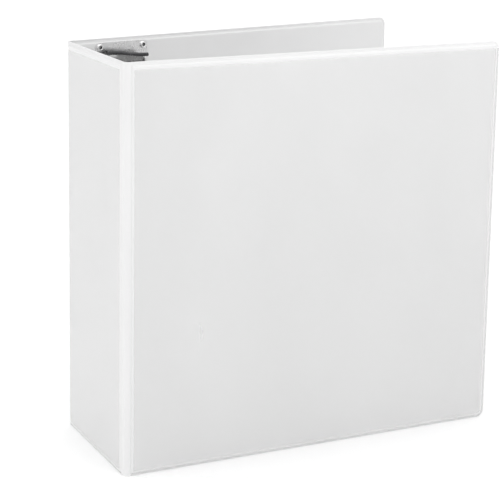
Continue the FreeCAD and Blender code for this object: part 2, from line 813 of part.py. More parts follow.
# ---------------------------------------------------------------------------
# Build, check and write
# ---------------------------------------------------------------------------
def check():
    failed = [thing.Name for thing in doc.Objects if {"Invalid", "Error"} & set(thing.State)]
    if failed:
        raise RuntimeError(f"failed objects: {failed}")
    for thing in nodes:
        if thing.Shape.isNull() or not thing.Shape.isValid():
            raise RuntimeError(f"{thing.Label} has no valid shape")


def write():
    os.makedirs("parts", exist_ok=True)
    for thing in nodes:
        thing.Shape.exportStep(f"parts/{thing.Label}.step")
        box = thing.Shape.BoundBox
        print(
            f"{thing.Label:22} {len(thing.Shape.Solids)} solids {thing.Shape.Volume:10.1f} mm3"
            f"  x {box.XMin:7.1f} {box.XMax:6.1f}  y {box.YMin:7.1f} {box.YMax:6.1f}"
            f"  z {box.ZMin:6.1f} {box.ZMax:6.1f}"
        )
    print(len(nodes), "sub-parts")


panels()
hinge_strips()
mechanism()
doc.recompute()
check()
write()
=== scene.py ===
# %% [markdown]
# # A wide ring binder in white vinyl
# A view binder is three stiff boards sealed between two vinyl sheets. The outer sheet carries a clear
# film that takes a printed cover, and the inner sheet carries a pocket on each cover. Two thin vinyl
# hinges join the boards, and a three-ring mechanism is riveted to the back cover. This lesson builds
# the sheets, hinges, rings and levers as meshes around a measured frame, and gives each a finish.

# %% Load the frame
import json
import math

import bmesh
import bpy
from mathutils import Matrix, Vector

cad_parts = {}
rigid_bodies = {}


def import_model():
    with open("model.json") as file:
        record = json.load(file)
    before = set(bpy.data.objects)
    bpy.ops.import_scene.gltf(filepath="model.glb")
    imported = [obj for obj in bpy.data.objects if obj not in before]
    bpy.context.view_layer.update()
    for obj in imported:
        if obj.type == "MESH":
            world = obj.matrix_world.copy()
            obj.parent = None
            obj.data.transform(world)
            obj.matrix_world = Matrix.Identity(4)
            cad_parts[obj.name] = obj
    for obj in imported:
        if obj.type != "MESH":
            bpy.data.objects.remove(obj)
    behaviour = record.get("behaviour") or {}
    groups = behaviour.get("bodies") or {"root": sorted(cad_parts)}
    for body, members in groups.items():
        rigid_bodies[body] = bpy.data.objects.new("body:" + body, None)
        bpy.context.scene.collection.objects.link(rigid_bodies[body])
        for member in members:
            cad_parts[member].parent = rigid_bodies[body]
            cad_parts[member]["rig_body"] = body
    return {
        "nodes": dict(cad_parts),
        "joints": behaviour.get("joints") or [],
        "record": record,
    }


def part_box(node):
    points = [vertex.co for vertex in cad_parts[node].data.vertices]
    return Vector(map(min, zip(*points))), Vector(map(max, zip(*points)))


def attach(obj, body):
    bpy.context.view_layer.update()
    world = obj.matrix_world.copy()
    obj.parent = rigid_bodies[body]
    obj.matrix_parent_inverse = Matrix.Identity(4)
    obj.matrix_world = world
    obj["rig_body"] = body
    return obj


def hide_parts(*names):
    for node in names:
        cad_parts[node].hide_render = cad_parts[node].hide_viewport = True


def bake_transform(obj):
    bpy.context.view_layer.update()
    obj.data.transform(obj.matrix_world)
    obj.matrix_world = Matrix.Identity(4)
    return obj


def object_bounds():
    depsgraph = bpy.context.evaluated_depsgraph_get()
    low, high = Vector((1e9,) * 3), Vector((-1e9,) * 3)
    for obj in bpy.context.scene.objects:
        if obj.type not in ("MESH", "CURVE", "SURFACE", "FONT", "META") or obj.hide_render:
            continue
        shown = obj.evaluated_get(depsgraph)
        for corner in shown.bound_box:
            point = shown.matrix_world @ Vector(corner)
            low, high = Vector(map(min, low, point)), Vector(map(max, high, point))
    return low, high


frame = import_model()
cad_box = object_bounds()
mm = 0.001
UP = Vector((0, 0, 1))
joints = {joint["name"]: joint for joint in frame["joints"]}
mounts = {mount["name"]: mount for mount in frame["record"]["mounts"]}

# %% [markdown]
# ## Light
# The binder stands in a white studio: light comes from everywhere, and a little more from above. A
# world colour gives the even part, and it is darker below the horizon, so that metal has something to
# mirror. A very wide sun gives the soft part from above without a bright pool on the floor, which a
# small lamp would leave. A second one, from the spine's side, lifts the spine. A strip light close to
# the top of the front cover makes its tone fall off downwards.

# %% The room
scene = bpy.context.scene
scene.view_settings.view_transform = "Standard"
world = bpy.data.worlds.new("white_studio")
scene.world = world
world.use_nodes = True
world_nodes, world_links = world.node_tree.nodes, world.node_tree.links
sky = world_nodes["Background"]
direction = world_nodes.new("ShaderNodeTexCoord")
height = world_nodes.new("ShaderNodeSeparateXYZ")
tone = world_nodes.new("ShaderNodeValToRGB")
for stop, place, colour in zip(tone.color_ramp.elements, (0.0, 0.5), ((0.62, 0.62, 0.63), (1, 1, 1))):
    stop.position, stop.color = place, (*colour, 1)
world_links.new(direction.outputs["Generated"], height.inputs[0])
world_links.new(height.outputs["Z"], tone.inputs["Fac"])
world_links.new(tone.outputs["Color"], sky.inputs["Color"])
sky.inputs["Strength"].default_value = 0.80


def lamp(name, kind, energy, place, target, **settings):
    light = bpy.data.lights.new(name, kind)
    light.energy = energy
    for setting, value in settings.items():
        setattr(light, setting, value)
    holder = bpy.data.objects.new(name, light)
    holder.location = place
    holder.rotation_euler = (Vector(target) - Vector(place)).to_track_quat("-Z", "Y").to_euler()
    scene.collection.objects.link(holder)
    return holder


middle = (cad_box[0] + cad_box[1]) / 2
lamp("overhead_sun", "SUN", 1.0, (0, 0, 2), (0, 0.1, 0), angle=math.radians(100))
lamp("spine_side_sun", "SUN", 0.45, (-1, 0.45, 0.5), (0, 0, 0), angle=math.radians(90))
front_top = Vector((middle.x, cad_box[0].y, cad_box[1].z))
strip = lamp(
    "front_strip", "AREA", 0.25, front_top + Vector((0, -0.25, 0.2)), front_top,
    shape="RECTANGLE", size=0.5, size_y=0.1,
)
strip.visible_camera = False
print("lights:", [light.name for light in bpy.data.lights])

# %% [markdown]
# ## Camera
# A long lens from a little above keeps the covers' edges nearly parallel. The camera looks past the
# hinge corner between the spine and the front cover, so the frame is shifted towards the cover.

# %% The camera
CAMERA_PLACE = (-0.7710, -1.0680, 0.4574)
CAMERA_TURN = 34.34
CAMERA_DROP = 11.31
CAMERA_ROLL = 0.54
lens = bpy.data.cameras.new("long_lens")
lens.lens = 121.65
lens.shift_x = 0.113
lens.shift_y = -0.170
camera = bpy.data.objects.new("camera", lens)
turn, drop = math.radians(CAMERA_TURN), math.radians(CAMERA_DROP)
looking = Vector((math.sin(turn) * math.cos(drop), math.cos(turn) * math.cos(drop), -math.sin(drop)))
aim = looking.to_track_quat("-Z", "Y").to_matrix()
camera.matrix_world = (
    Matrix.Translation(CAMERA_PLACE) @ (aim @ Matrix.Rotation(math.radians(CAMERA_ROLL), 3, "Z")).to_4x4()
)
scene.collection.objects.link(camera)
scene.camera = camera
print("camera distance", round((Vector(CAMERA_PLACE) - middle).length, 3), "m")

# %% [markdown]
# ## Finishes
# Vinyl, film and metal all read as plain white or grey from far away. What tells them apart is how
# they break the light: a fine pressed grain, the slow waves of a sheet over board, or the drawing
# lines in wire. Each finish here is noise on Object coordinates, which are metres, at the size of the
# real texture. The helper below adds the parts that they share.


# %% The parts that the finishes share
def finish(name, **surface):
    """A material with one Principled shader, whose even values are set on its own sockets."""
    material = bpy.data.materials.new(name)
    material.use_nodes = True
    for socket, value in surface.items():
        shader_of(material).inputs[socket.replace("_", " ")].default_value = value
    return material


def add(material, kind, **settings):
    made = material.node_tree.nodes.new("ShaderNode" + kind)
    for setting, value in settings.items():
        if setting in made.inputs:
            made.inputs[setting].default_value = value
        else:
            setattr(made, setting, value)
    return made


def wire_up(material, out, into):
    material.node_tree.links.new(out, into)


def shader_of(material):
    return material.node_tree.nodes["Principled BSDF"]


def noise(material, size, stretch=(1, 1, 1), detail=3.0):
    """Noise whose lumps are about the given size in metres, drawn out where stretch is small."""
    place = add(material, "TexCoord")
    mapping = add(material, "Mapping")
    mapping.inputs["Scale"].default_value = stretch
    texture = add(material, "TexNoise", Scale=1 / size, Detail=detail)
    wire_up(material, place.outputs["Object"], mapping.inputs["Vector"])
    wire_up(material, mapping.outputs["Vector"], texture.inputs["Vector"])
    return texture


def vary_colour(material, texture, dark, light):
    ramp = add(material, "ValToRGB")
    for stop, place, colour in zip(ramp.color_ramp.elements, (0.3, 0.7), (dark, light)):
        stop.position, stop.color = place, (*colour, 1)
    wire_up(material, texture.outputs["Fac"], ramp.inputs["Fac"])
    wire_up(material, ramp.outputs["Color"], shader_of(material).inputs["Base Color"])


def vary_roughness(material, texture, smooth, rough):
    spread = add(material, "MapRange")
    for socket, value in (("From Min", 0.3), ("From Max", 0.7), ("To Min", smooth), ("To Max", rough)):
        spread.inputs[socket].default_value = value
    wire_up(material, texture.outputs["Fac"], spread.inputs["Value"])
    wire_up(material, spread.outputs["Result"], shader_of(material).inputs["Roughness"])


def emboss(material, texture, depth, output="Fac"):
    """Raise the surface by the texture, over any relief that it has already."""
    bump = add(material, "Bump", Strength=1.0, Distance=depth)
    shader = shader_of(material)
    wire_up(material, texture.outputs[output], bump.inputs["Height"])
    if shader.inputs["Normal"].is_linked:
        wire_up(material, shader.inputs["Normal"].links[0].from_socket, bump.inputs["Normal"])
    wire_up(material, bump.outputs["Normal"], shader.inputs["Normal"])


print("helpers for a finish: noise, colour, roughness and relief")

# %% [markdown]
# ### White vinyl
# The outer sheet is calendered vinyl, pressed with a very shallow matt grain, and pulled over a board
# that is never quite flat. Two reliefs stack: grain of half a millimetre, and slow waves a few
# centimetres long that bend the gloss. The tone varies by about a hundredth.

# %% White vinyl for the outer sheets
outer_vinyl = finish("white_vinyl", Specular_IOR_Level=0.45)
sheet_cloud = noise(outer_vinyl, 60 * mm, detail=2.0)
vary_colour(outer_vinyl, sheet_cloud, (0.815, 0.815, 0.815), (0.835, 0.835, 0.835))
vary_roughness(outer_vinyl, noise(outer_vinyl, 8 * mm), 0.36, 0.46)
emboss(outer_vinyl, sheet_cloud, 0.25 * mm)
emboss(outer_vinyl, noise(outer_vinyl, 0.5 * mm, detail=1.0), 0.004 * mm)
print("outer sheet:", outer_vinyl.name)

# %% [markdown]
# ### Liner vinyl
# The inner sheet is the same vinyl with a coarser hair-cell grain, which hides scuffs from paper. Cell
# noise gives the pebbled look that plain noise lacks.

# %% Liner vinyl
liner_vinyl = finish("white_liner", Specular_IOR_Level=0.4)
liner_cloud = noise(liner_vinyl, 45 * mm, detail=2.0)
vary_colour(liner_vinyl, liner_cloud, (0.80, 0.80, 0.80), (0.825, 0.825, 0.825))
vary_roughness(liner_vinyl, noise(liner_vinyl, 5 * mm), 0.45, 0.56)
emboss(liner_vinyl, liner_cloud, 0.2 * mm)
pebble_place = add(liner_vinyl, "TexCoord")
pebble = add(liner_vinyl, "TexVoronoi", Scale=1 / (0.9 * mm))
wire_up(liner_vinyl, pebble_place.outputs["Object"], pebble.inputs["Vector"])
emboss(liner_vinyl, pebble, 0.03 * mm, output="Distance")
print("inner sheet:", liner_vinyl.name)

# %% [markdown]
# ### Clear film
# The overlay is thin glossy film. Glass would bend what is behind it and take long to render, so the
# film is a nearly clear skin instead: low alpha lets the vinyl through, and a smooth, slightly rippled
# surface keeps the shine. Its roughness is even, because noise in the roughness of a see-through skin
# shows as bright lines. The pocket film is the same sheet in milky white.

# %% Clear film and pocket film
clear_film = finish("clear_film", Roughness=0.24, Alpha=0.28, IOR=1.5, Specular_IOR_Level=0.6)
film_ripple = noise(clear_film, 35 * mm, stretch=(1, 1, 0.35), detail=2.0)
vary_colour(clear_film, film_ripple, (0.89, 0.89, 0.89), (0.92, 0.92, 0.92))
emboss(clear_film, film_ripple, 0.35 * mm)
pocket_film = finish("pocket_film", Specular_IOR_Level=0.5)
pocket_ripple = noise(pocket_film, 40 * mm, detail=2.0)
vary_colour(pocket_film, pocket_ripple, (0.82, 0.82, 0.82), (0.845, 0.845, 0.845))
vary_roughness(pocket_film, noise(pocket_film, 6 * mm), 0.30, 0.42)
emboss(pocket_film, pocket_ripple, 0.4 * mm)
emboss(pocket_film, noise(pocket_film, 0.5 * mm), 0.01 * mm)
print("films:", clear_film.name, pocket_film.name)

# %% [markdown]
# ### Greyboard
# The stiffeners are recycled board. They are sealed in, but a cut through the vinyl would show grey
# pulp with darker and lighter fibres, so they get that: two sizes of noise in a warm grey.

# %% Greyboard
pulp = finish("greyboard", Roughness=0.9, Specular_IOR_Level=0.2)
fibres = noise(pulp, 1.5 * mm, stretch=(1, 1, 0.4), detail=6.0)
vary_colour(pulp, fibres, (0.36, 0.34, 0.30), (0.52, 0.49, 0.44))
emboss(pulp, noise(pulp, 0.6 * mm), 0.08 * mm)
print("board:", pulp.name)

# %% [markdown]
# ### Nickel
# The housing and blades are rolled sheet, nickel plated: not a perfect mirror, with faint rolling lines
# along the sheet. The wire is drawn and polished harder. The levers are painted darker, as painted shade:
# their hems near black for the shadow under the lip, and their plates a darker grey for the dim inside of
# the binder, both in uneven tones. One function makes all of them, from a tint and two roughnesses.


# %% Nickel in three grades
def nickel(name, dark, light, smooth, rough, lines):
    metal = finish(name, Metallic=1.0)
    vary_colour(metal, noise(metal, 9 * mm), dark, light)
    vary_roughness(metal, noise(metal, 3 * mm), smooth, rough)
    emboss(metal, noise(metal, 0.5 * mm, stretch=lines, detail=4.0), 0.006 * mm)
    emboss(metal, noise(metal, 12 * mm, detail=1.0), 0.08 * mm)
    return metal


plated_sheet = nickel("nickel_plate", (0.80, 0.80, 0.80), (0.88, 0.88, 0.88), 0.24, 0.34, (1, 1, 0.04))
ring_wire = nickel("ring_wire", (0.72, 0.72, 0.73), (0.80, 0.80, 0.81), 0.10, 0.18, (1, 0.04, 1))
# Painted shade: near black for the lever hems and the eyelet bores, which stand in the shade of the
# binder.
painted_shade_black = nickel("lever_steel", (0.055, 0.055, 0.057), (0.09, 0.09, 0.093), 0.22, 0.34, (0.05, 1, 1))
# Painted shade: a darker grey for the lever plates, which lie in the dim inside of the binder.
painted_shade_grey = nickel("painted_shade_grey_steel", (0.24, 0.24, 0.24), (0.36, 0.36, 0.36), 0.22, 0.38, (0.05, 1, 1))
print("metals:", plated_sheet.name, ring_wire.name, painted_shade_black.name, painted_shade_grey.name)

# %% [markdown]
# ## Panels
# Each panel is measured from its own frame: across it from the fold of its hinge, up it from the
# desk, and out of it from the middle of its board. The folds come from the hinges, and the outward
# directions from the mounts, so a change in the frame moves the pieces with it.

# %% Where each panel stands
back_fold = Vector(joints["spine_hinge"]["pos_m"])
front_fold = Vector(joints["front_cover_hinge"]["pos_m"])
film_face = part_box("back_clear_overlay")[1].y
spine_out = Vector(mounts["spine_face"]["axis"])
front_out = Vector(mounts["front_cover_face"]["axis"])
board_middles = {
    "back": Vector(mounts["standing_edge"]["pos_m"]),
    "spine": Vector(mounts["spine_face"]["pos_m"]) - spine_out * film_face,
    "front": Vector(mounts["front_cover_face"]["pos_m"]) - front_out * film_face,
}


def panel_frame(fold, across, outward, board_middle):
    """The matrix from (across, up, out) of a panel to the row frame."""
    origin = fold + outward * (board_middle - fold).dot(outward)
    matrix = Matrix((across, UP, outward)).transposed().to_4x4()
    matrix.translation = (origin.x, origin.y, 0)
    return matrix


panels = {
    "back": panel_frame(back_fold, Vector((1, 0, 0)), Vector((0, 1, 0)), board_middles["back"]),
    "spine": panel_frame(back_fold, UP.cross(spine_out), spine_out, board_middles["spine"]),
    "front": panel_frame(front_fold, UP.cross(front_out), front_out, board_middles["front"]),
}
bodies = {"back": "back_cover", "spine": "spine", "front": "front_cover"}


def extent(node, matrix):
    """The lowest and highest corners of a measured part, in a panel's own frame."""
    inside = matrix.inverted()
    corners = [inside @ vertex.co for vertex in frame["nodes"][node].data.vertices]
    low = Vector([min(corner[axis] for corner in corners) for axis in range(3)])
    high = Vector([max(corner[axis] for corner in corners) for axis in range(3)])
    return low, high


def in_mm(vector):
    return tuple(round(value / mm, 2) for value in vector)


for name, matrix in panels.items():
    low, high = extent(name + "_outer_vinyl", matrix)
    print(name, "panel from", in_mm(low), "to", in_mm(high))

# %% [markdown]
# ## A sheet over a board
# Vinyl is welded flat round the edge, climbs over the rim of the board, and lies flat on it. That
# could be a box with rounded edges, but then it would look moulded. Here a single face is inset again
# and again: each inset adds a ring, and each ring has its own height, so the weld line, the slope and
# the soft shoulder are all loops that run parallel to the outline, round its corners as well. The
# outline starts a little wide at the hinge, where a cutting plane then trims the border narrower.

# %% The relief of a welded border
CORNER_RADIUS = 6 * mm
HINGE_LAND = 0.4 * mm
WELD_MARGIN = 2.4 * mm
SHEET = 0.35 * mm
# A welded sheet faces this far off the middle of the board, just more than its own thickness.
WELD_LIFT = 0.36 * mm
# Each step is the width of a ring and how far it climbs.
BORDER = (
    (0.25 * mm, 0.06 * mm),
    (0.75 * mm, 0.0),
    (0.30 * mm, -0.14 * mm),
    (0.30 * mm, 0.14 * mm),
    (0.50 * mm, 0.0),
    (0.30 * mm, 0.14 * mm),
    (0.45 * mm, 0.62 * mm),
    (0.40 * mm, 0.26 * mm),
    (0.60 * mm, 0.10 * mm),
    (0.80 * mm, 0.02 * mm),
    (0.80 * mm, 0.0),
)


def everything(bm):
    return bm.verts[:] + bm.edges[:] + bm.faces[:]


def outline(bm, low, high, radius):
    """One face from four corners, with the two at the fore edge rounded."""
    corners = [bm.verts.new((x, y, 0)) for x, y in (low, (high[0], low[1]), high, (low[0], high[1]))]
    bm.faces.new(corners)
    if radius:
        bmesh.ops.bevel(
            bm, geom=corners[1:3], affect="VERTICES", offset=radius, segments=10, profile=0.5, material=-1
        )
    return bm.faces[:][0]


def trim(bm, point, direction):
    """Cut away all that lies past a plane, on the side that direction points to."""
    bmesh.ops.bisect_plane(
        bm, geom=everything(bm), plane_co=point, plane_no=direction, clear_outer=True
    )


def score(bm, axis, places):
    """Add edge loops across the sheet without cutting it."""
    for place in places:
        point, direction = Vector(), Vector()
        point[axis], direction[axis] = place, 1
        bmesh.ops.bisect_plane(bm, geom=everything(bm), plane_co=point, plane_no=direction)


def pressed_sheet(low, high, radius, hinge_sides, lift=0.0):
    """A sheet pressed over a board, facing +Z, before it gets its thickness."""
    bm = bmesh.new()
    spare = WELD_MARGIN - HINGE_LAND
    wide_low = (low[0] - spare * ("near" in hinge_sides), low[1])
    wide_high = (high[0] + spare * ("far" in hinge_sides), high[1])
    face = outline(bm, wide_low, wide_high, radius)
    for width, climb in BORDER:
        bmesh.ops.inset_region(
            bm, faces=[face], thickness=width, depth=climb, use_even_offset=True, use_boundary=True
        )
        face = max(bm.faces, key=lambda candidate: candidate.calc_area())
    if "near" in hinge_sides:
        trim(bm, (low[0], 0, 0), (-1, 0, 0))
    if "far" in hinge_sides:
        trim(bm, (high[0], 0, 0), (1, 0, 0))
    bmesh.ops.translate(bm, verts=bm.verts, vec=(0, 0, lift))
    return bm


def thicken(bm, thickness):
    """Give a sheet its thickness, on the side away from where it faces."""
    bmesh.ops.solidify(bm, geom=bm.faces[:], thickness=thickness)
    bmesh.ops.remove_doubles(bm, verts=bm.verts, dist=0.0005 * mm)


def make_piece(bm, name, material, crease=35, outward=True):
    """Turn the mesh into an object at the origin, smooth but for its creases."""
    if outward:
        bmesh.ops.recalc_face_normals(bm, faces=bm.faces)
    mesh = bpy.data.meshes.new(name)
    bm.to_mesh(mesh)
    bm.free()
    mesh.shade_smooth()
    mesh.set_sharp_from_angle(angle=math.radians(crease))
    piece = bpy.data.objects.new(name, mesh)
    scene.collection.objects.link(piece)
    mesh.materials.append(material)
    size = [high - low for low, high in zip(*corners_of(piece))]
    print(f"{name:28} {len(mesh.polygons):6} faces  {in_mm(size)} mm")
    return piece


def corners_of(piece):
    places = [vertex.co for vertex in piece.data.vertices]
    low = Vector([min(place[axis] for place in places) for axis in range(3)])
    high = Vector([max(place[axis] for place in places) for axis in range(3)])
    return low, high


print("the border climbs", round(sum(climb for width, climb in BORDER) / mm, 2), "mm")

# %% [markdown]
# ### Outer sheets and liners
# The two sheets of a panel are the same pressing, one facing out and one facing in. They meet in the
# welded border, at the middle of the board. The liner is pressed from the same border, turned over.
# A hinge side has a narrow border, since the weld there belongs to the hinge.

# %% Outer sheets and liners
MIRROR_OUT = Matrix.Diagonal((1, 1, -1, 1))
hinge_sides = {"back": ("near",), "spine": ("near", "far"), "front": ("near",)}
for name, matrix in panels.items():
    radius = 0 if name == "spine" else CORNER_RADIUS
    for layer, material, slot, side in (
        ("outer_vinyl", outer_vinyl, "white_vinyl", Matrix()),
        ("liner", liner_vinyl, "white_liner", MIRROR_OUT),
    ):
        low, high = extent(f"{name}_{layer}", matrix)
        bm = pressed_sheet(low.xy, high.xy, radius, hinge_sides[name], lift=WELD_LIFT)
        thicken(bm, SHEET)
        bmesh.ops.transform(bm, matrix=matrix @ side, verts=bm.verts)
        piece = make_piece(bm, f"{name}_{layer}_sheet", material)
        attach(piece, bodies[name])
        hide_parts(f"{name}_{layer}")

# %% [markdown]
# ### Clear overlays
# The overlay is welded to the outer sheet on three sides and open at the top, where a printed cover
# slides in. It follows the vinyl a hair's breadth above it, because two faces in the same place
# would flicker. Its open edge is cut straight, and stands off a little between its welded sides.

# %% Clear overlays
FILM = 0.12 * mm
FILM_CLEARANCE = 0.05 * mm
FILM_LIFT = WELD_LIFT + FILM + FILM_CLEARANCE
FILM_CORNER = CORNER_RADIUS - 0.6 * mm
OVERLAY_GAPE, POCKET_GAPE = 0.3 * mm, 1.0 * mm
GAPE_REACH = 40 * mm
GAPE_ROWS = (2, 5, 9, 15, 24, 40)
GAPE_COLUMNS = 12
TOP_WELD = 12 * mm


def lift_open_edge(bm, top, reach, sides, height):
    """Let the open edge stand off in the middle, and lie down towards its sides and below."""
    for vertex in bm.verts:
        near_top = max(0.0, 1 - (top - vertex.co.y) / reach)
        place = (vertex.co.x - sides[0]) / (sides[1] - sides[0])
        between = math.sin(math.pi * min(1.0, max(0.0, place)))
        vertex.co.z += height * near_top**2 * between**0.5


def film_sheet(low, high, radius, hinge_sides, gape):
    """A pressed film, made too tall and cut off below its top weld, so that its top edge is open."""
    bm = pressed_sheet(low.xy, (high.x, high.y + TOP_WELD), radius, hinge_sides, FILM_LIFT)
    trim(bm, (0, high.y, 0), (0, 1, 0))
    score(bm, 1, [high.y - row * mm for row in GAPE_ROWS])
    width = high.x - low.x
    score(bm, 0, [low.x + width * column / GAPE_COLUMNS for column in range(1, GAPE_COLUMNS)])
    lift_open_edge(bm, high.y, GAPE_REACH, (low.x, high.x), gape)
    thicken(bm, FILM)
    return bm


for name, matrix in panels.items():
    low, high = extent(name + "_clear_overlay", matrix)
    radius = 0 if name == "spine" else FILM_CORNER
    bm = film_sheet(low, high, radius, hinge_sides[name], OVERLAY_GAPE)
    bmesh.ops.transform(bm, matrix=matrix, verts=bm.verts)
    piece = make_piece(bm, f"{name}_overlay_film", clear_film)
    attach(piece, bodies[name])
    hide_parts(name + "_clear_overlay")

# %% [markdown]
# ### Inner pockets
# Each cover has a pocket for loose sheets on the inside. It is welded at the fore edge and the
# bottom, and along a straight line at its hinge side, and its top edge gapes by about a millimetre.

# %% Inner pockets
for name in ("back", "front"):
    low, high = extent(name + "_inner_pocket", panels[name])
    bm = film_sheet(low, high, FILM_CORNER, hinge_sides[name], POCKET_GAPE)
    bmesh.ops.transform(bm, matrix=panels[name] @ MIRROR_OUT, verts=bm.verts)
    piece = make_piece(bm, f"{name}_pocket_film", pocket_film)
    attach(piece, bodies[name])
    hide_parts(name + "_inner_pocket")

# %% [markdown]
# ### Boards
# The boards lie between the sheets, so the measured ones stay and only take the pulp finish.

# %% Boards
for name in panels:
    board = frame["nodes"][name + "_board"]
    board.data.materials.clear()
    board.data.materials.append(pulp)
print("boards:", ", ".join(panels))

# %% [markdown]
# ## Hinges
# Between the boards the two sheets are welded straight to each other, and that strip is the hinge. It
# leaves one panel's border, turns the corner as an arc, and joins the next. Spinning an upright edge about
# the arc's centre makes the strip, with its loops in the right place for the crease that a pressing bar
# leaves beside the spine.


# %% Hinges
HINGE_STEPS = 24
CREASE_STEP = 5
CREASE_HALF = 4
CREASE_DEPTH = 0.5 * mm
FULLNESS = 0.12 * mm


def fillet(start, leaving, end, arriving):
    """Centre and turn of the arc that leaves one panel's border and joins the next."""
    turn = leaving.angle(arriving)
    radius = (end - start).length / (2 * math.sin(turn / 2))
    side = 1 if leaving.cross(arriving).z > 0 else -1
    centre = start + Vector((-leaving.y, leaving.x, 0)) * side * radius
    return centre, turn * side, radius


def crease(step, middle_step):
    """How deep the crease is at a step of the arc: whole in its middle, nothing at its edges."""
    share = max(0.0, 1 - abs(step - middle_step) / CREASE_HALF)
    return CREASE_DEPTH * math.sin(math.pi / 2 * share) ** 2


def hinge_strip(start, leaving, end, arriving, top, crease_at):
    centre, turn, radius = fillet(start, leaving, end, arriving)
    bm = bmesh.new()
    ends = [bm.verts.new(start), bm.verts.new(start + UP * top)]
    edge = bm.edges.new(ends)
    bmesh.ops.spin(
        bm, geom=ends + [edge], cent=centre, axis=(0, 0, 1), angle=turn, steps=HINGE_STEPS,
        dvec=(0, 0, 0), use_merge=False,
    )
    first_spoke = Vector((start.x - centre.x, start.y - centre.y, 0))
    for vertex in bm.verts:
        spoke = Vector((vertex.co.x - centre.x, vertex.co.y - centre.y, 0))
        step = round(HINGE_STEPS * spoke.angle(first_spoke) / abs(turn))
        swell = FULLNESS * math.sin(math.pi * step / HINGE_STEPS)
        vertex.co += spoke.normalized() * (swell - crease(step, crease_at))
    bmesh.ops.solidify(bm, geom=bm.faces[:], thickness=2 * SHEET)
    print(f"hinge arc of {radius / mm:.2f} mm radius, turned {math.degrees(turn):.1f} degrees")
    return bm, centre


def border_end(name, across):
    """The middle of a panel's border at its near or far hinge."""
    return panels[name] @ Vector((across, 0, 0))


def heading(name):
    return panels[name].to_3x3() @ Vector((1, 0, 0))


for name, first, second in (("back_hinge", "back", "spine"), ("front_hinge", "spine", "front")):
    first_low, first_high = extent(first + "_outer_vinyl", panels[first])
    second_low = extent(second + "_outer_vinyl", panels[second])[0]
    start = border_end(first, first_low.x if first == "back" else first_high.x)
    leaving = -heading(first) if first == "back" else heading(first)
    end = border_end(second, second_low.x)
    crease_at = CREASE_STEP if first == "spine" else HINGE_STEPS - CREASE_STEP
    bm, centre = hinge_strip(start, leaving, end, heading(second), first_high.y, crease_at)
    bmesh.ops.recalc_face_normals(bm, faces=bm.faces)
    off_centre = [(vertex.co.xy - centre.xy).length / mm for vertex in bm.verts]
    print(f"{name} from {min(off_centre):.2f} to {max(off_centre):.2f} mm off its centre")
    piece = make_piece(bm, name + "_strip", outer_vinyl)
    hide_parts(name + "_strip")
    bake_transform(piece)

# %% [markdown]
# ## Carried-over metal
# The housing, blades and pins are sheet and rod whose measured shapes are right as they are. Only
# their edges are too sharp and their facets show, so each gets a cleaned copy: its loose triangles are
# merged, its flats dissolved back into whole faces, and a small rounded edge catches the light.

# %% Housing, blades and pins
EDGE_ROUND = 0.12 * mm


def round_edges(piece, width, segments, sharpest):
    """Round the edges that turn by more than an angle, when the piece is drawn."""
    bevel = piece.modifiers.new("rounded_edges", "BEVEL")
    bevel.width = width
    bevel.segments = segments
    bevel.limit_method = "ANGLE"
    bevel.angle_limit = math.radians(sharpest)
    bevel.harden_normals = True


def cleaned_copy(node, name, material):
    bm = bmesh.new()
    bm.from_mesh(frame["nodes"][node].data)
    bmesh.ops.remove_doubles(bm, verts=bm.verts, dist=0.001 * mm)
    bmesh.ops.dissolve_limit(bm, angle_limit=math.radians(0.5), verts=bm.verts, edges=bm.edges)
    piece = make_piece(bm, name, material, outward=False)
    round_edges(piece, EDGE_ROUND, 2, 40)
    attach(piece, frame["nodes"][node]["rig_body"])
    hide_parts(node)


for node, name in (
    ("mechanism_housing", "arched_housing"),
    ("spine_side_blade", "spine_side_carrier"),
    ("fore_side_blade", "fore_side_carrier"),
    ("bottom_lever_pin", "bottom_pivot_pin"),
    ("top_lever_pin", "top_pivot_pin"),
):
    cleaned_copy(node, name, plated_sheet)

# %% [markdown]
# ## The mechanism's own frame
# Everything made of metal is placed from the housing: across it, along it, and off the liner. The
# rings' places come from the mounts at their posts.

# %% The mechanism's own frame
housing_low, housing_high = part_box("mechanism_housing")
mechanism = Matrix((Vector((1, 0, 0)), UP, Vector((0, -1, 0)))).transposed().to_4x4()
mechanism.translation = (
    (housing_low.x + housing_high.x) / 2,
    housing_high.y,
    (housing_low.z + housing_high.z) / 2,
)


def on_mechanism(place):
    return mechanism.inverted() @ Vector(place)


def finish_metal(bm, node, name, material, crease=35):
    """Move a piece from the mechanism's frame to its place, and let it stand for a measured part."""
    bmesh.ops.transform(bm, matrix=mechanism, verts=bm.verts)
    piece = make_piece(bm, name, material, crease)
    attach(piece, frame["nodes"][node]["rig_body"])
    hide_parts(node)
    return piece


rings = {end: on_mechanism(mounts[end + "_ring_post"]["pos_m"]) for end in ("bottom", "middle", "top")}
WIRE_RADIUS = mounts["middle_ring_post"]["dims"]["r_mm"] * mm
print("rings at", [round(place.y / mm, 2) for place in rings.values()], "mm along the housing")

# %% [markdown]
# ## Rings
# A ring is round wire in two halves. The post is straight and bends over at the top, and the curved
# half swings out past the paper and comes back over it. A curve with a bevel could draw it, but a wire
# bender works in steps, a straight and then a bend of one radius, so the same steps are taken here: a
# circle is pushed along each straight, and spun about the centre of each bend. The ends are rounded,
# so that the holes of the paper don't catch.


# %% Bending wire
WIRE_SIDES = 20
TIP_ROUND = 0.5 * mm


def points_of(made):
    return [part for part in made if isinstance(part, bmesh.types.BMVert)]


def far_loop(made):
    """The edges whose two ends are both new: the loop to go on from."""
    points = set(points_of(made))
    return [part for part in made if isinstance(part, bmesh.types.BMEdge) and set(part.verts) <= points]


def cap(bm, loop):
    bmesh.ops.edgeloop_fill(bm, edges=loop)
    bmesh.ops.bevel(bm, geom=loop, affect="EDGES", offset=TIP_ROUND, segments=4, profile=0.5, material=-1)


